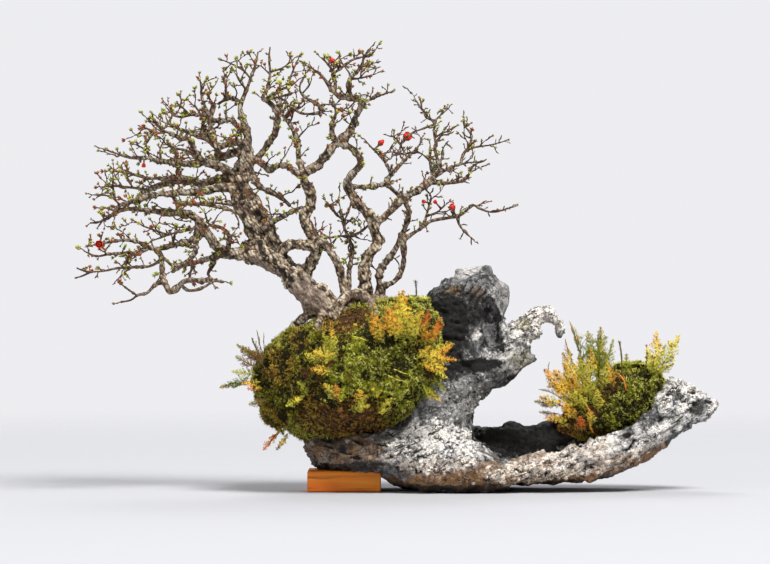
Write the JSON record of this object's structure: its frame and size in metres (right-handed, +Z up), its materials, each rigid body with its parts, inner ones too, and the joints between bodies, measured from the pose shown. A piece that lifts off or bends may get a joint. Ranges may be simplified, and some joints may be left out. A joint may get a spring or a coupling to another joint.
{
  "type": "root-over-rock bonsai",
  "caption": "Flowering quince clump rooted in mossy soil on a boat-shaped limestone with a peaked head, hooked arm and raised tail.",
  "frame": {"origin": "on the surface that the stone stands on, in the middle of the stone's flat foot", "axes": "+Z up, +X along the stone towards its raised tail, +Y away from the viewer"},
  "size_m": [0.6354, 0.2192, 0.4457],
  "materials": {
    "stone": "weathered limestone with pale veins and dark hollows",
    "wood": "bare sawn",
    "bark": "rough flaky bark",
    "soil": "dark peaty soil",
    "moss": "short dense pile",
    "petal": "soft satin petals",
    "frond_green": "satin leaf",
    "frond_yellow": "satin leaf",
    "frond_gold": "satin leaf",
    "frond_red": "satin leaf",
    "stem_brown": "dry stem"
  },
  "bodies": {
    "root": {"stone": "stone", "packing_block": "wood", "tree": "bark", "soil_left": "soil", "soil_tail": "soil", "moss_left": "moss", "moss_cushion": "moss", "moss_shoulder": "moss", "moss_back_left": "moss", "moss_back_right": "moss", "moss_tail_front": "moss", "moss_tail_top": "moss", "bloom_top": "petal", "bloom_mid": "petal", "bloom_open": "petal", "bloom_right": "petal", "bloom_left": "petal", "bud_right_high": "petal", "bud_right_low": "petal", "bud_right_fork": "petal", "bud_left_high": "petal", "fern_yellow_left": "frond_yellow", "fern_low_left": "frond_yellow", "fern_centre_low": "frond_green", "fern_centre_right": "frond_green", "fern_crest": "frond_gold", "fern_red": "frond_red", "fern_shoulder": "frond_gold", "fern_hanging": "frond_green", "fern_left_edge": "stem_brown", "fern_left_droop": "frond_green", "fern_bottom": "frond_red", "fern_back_high": "frond_green", "fern_back_low": "frond_gold", "fern_tail_clump": "frond_gold", "fern_tail_tall": "frond_green", "fern_tail_right": "frond_yellow", "fern_tail_back": "frond_gold", "stalk_tail_tuft": "stem_brown", "stalk_tail_bare": "stem_brown", "stalk_stub": "stem_brown"}
  },
  "joints": []
}
